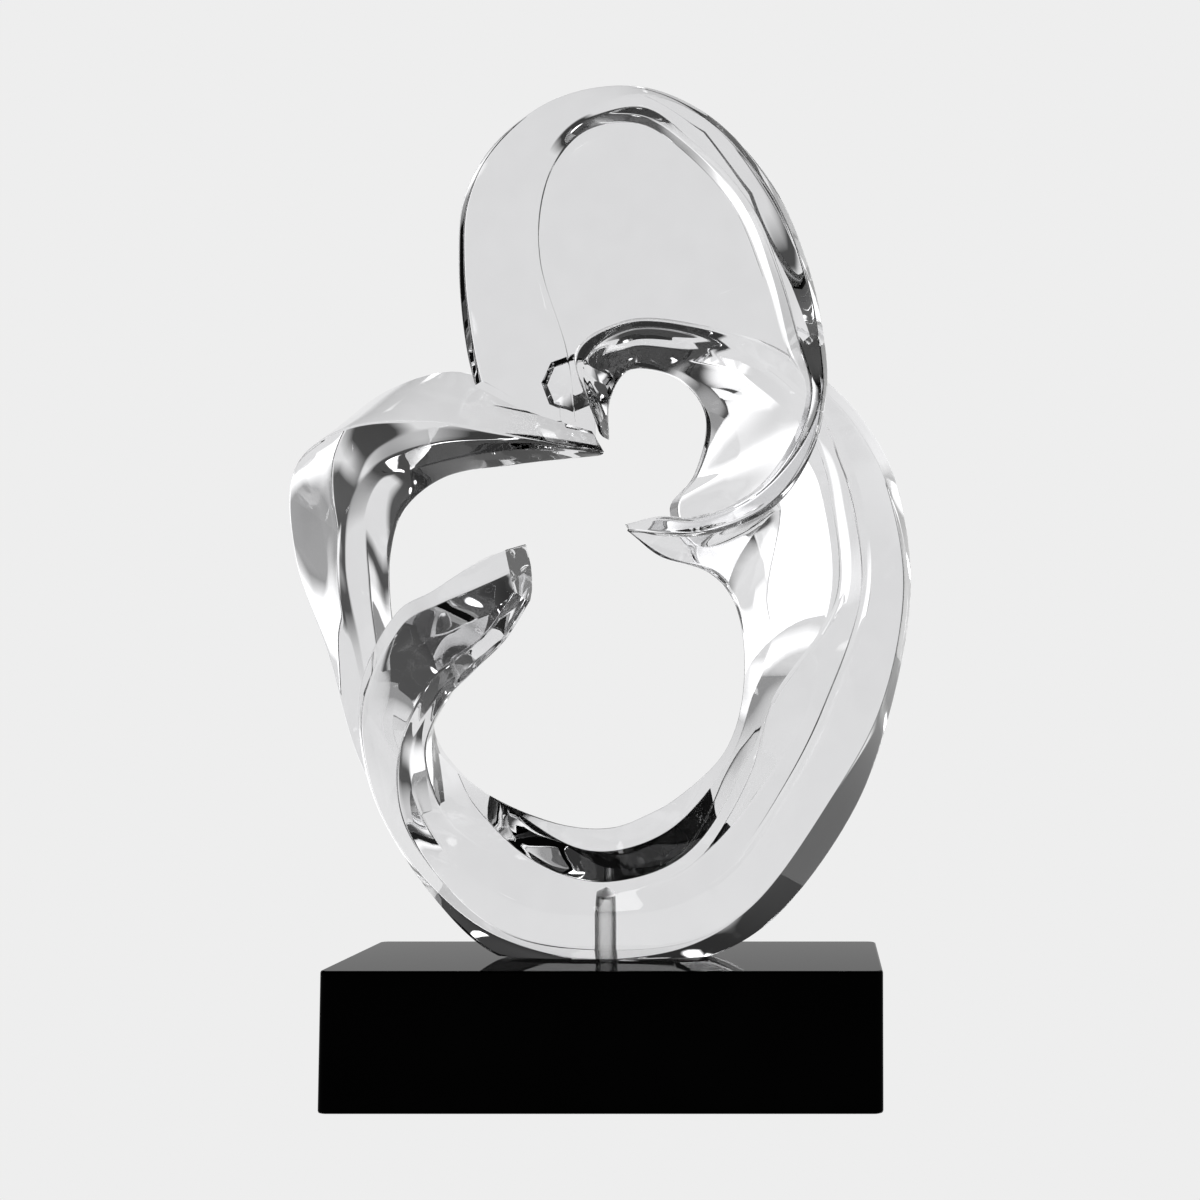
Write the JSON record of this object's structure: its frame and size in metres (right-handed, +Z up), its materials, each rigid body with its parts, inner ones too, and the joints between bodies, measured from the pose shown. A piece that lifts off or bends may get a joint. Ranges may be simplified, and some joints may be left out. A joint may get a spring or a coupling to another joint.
{
  "type": "resin loop sculpture",
  "caption": "Free-standing carved clear resin loop with a tall sail and two inward hooks, turning on a pin in a glossy black block.",
  "frame": {"origin": "on the swivel axis, level with the undersides of the feet", "axes": "+Z up, +X towards the right of the front face, +Y away from the viewer, so the front faces -Y"},
  "size_m": [0.3031, 0.11, 0.5092],
  "materials": {
    "clear_resin": "polished clear",
    "black_acrylic": "polished",
    "grey_nylon": "turned",
    "white_nylon": "turned",
    "clear_film": "smooth",
    "black_rubber": "matt"
  },
  "bodies": {
    "base": {"base_block": "black_acrylic", "pin_bush": "grey_nylon", "foot_front_left": "black_rubber", "foot_front_right": "black_rubber", "foot_back_left": "black_rubber", "foot_back_right": "black_rubber"},
    "pin": {"swivel_pin": "white_nylon", "slip_washer": "clear_film"},
    "loop": {"clear_loop": "clear_resin"}
  },
  "joints": [
    {"name": "loop_swivel", "type": "hinge", "parent": "base", "child": "pin", "pos_m": [0, 0, 0.0668], "axis": [0, 0, 1], "continuous": true},
    {"name": "loop_lift", "type": "slide", "parent": "pin", "child": "loop", "axis": [0, 0, 1], "range_m": [0, 0.03]}
  ]
}
